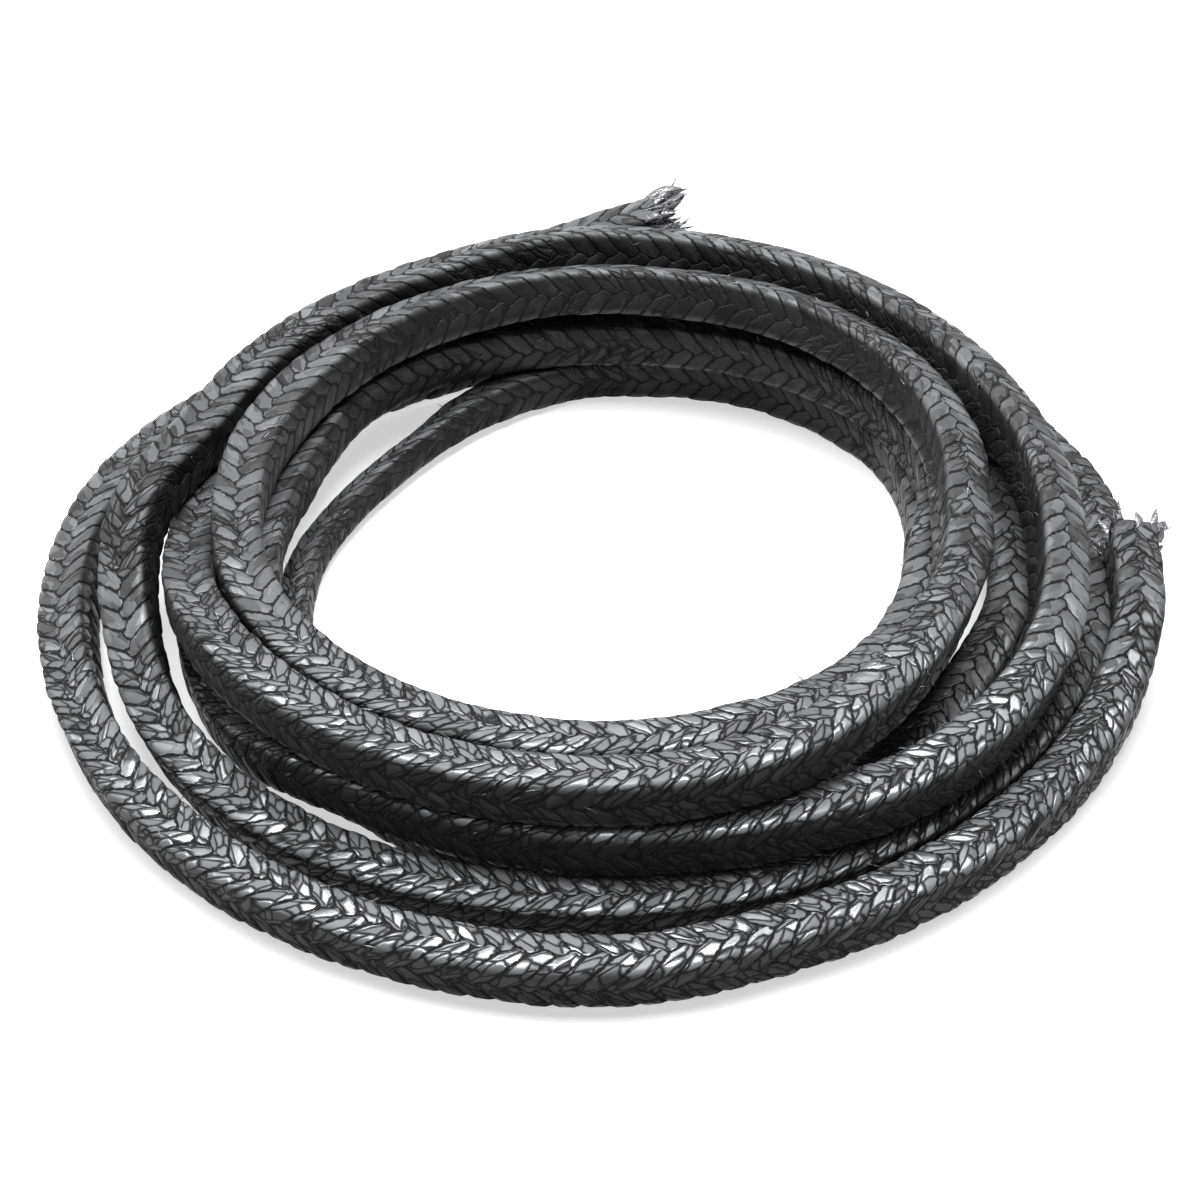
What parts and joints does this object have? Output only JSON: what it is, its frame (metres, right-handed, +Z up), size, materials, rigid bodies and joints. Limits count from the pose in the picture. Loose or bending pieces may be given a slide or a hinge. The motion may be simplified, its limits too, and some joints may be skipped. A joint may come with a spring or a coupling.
{
  "type": "coiled length of braided gland packing",
  "caption": "Loose coil of square braided graphite gland packing rope with two free frayed ends, the stock that sealing rings for pump and valve shafts are cut from.",
  "frame": {"origin": "middle of the coil's footprint, on the plane that it lies on", "axes": "+Z up out of the coil, -Y towards the viewer in the picture, +X to the right, towards the end that lies free at the right"},
  "size_m": [0.2244, 0.2276, 0.0322],
  "materials": {
    "graphite_yarn": "satin"
  },
  "bodies": {
    "root": {"packing_rope": "graphite_yarn"}
  },
  "joints": []
}
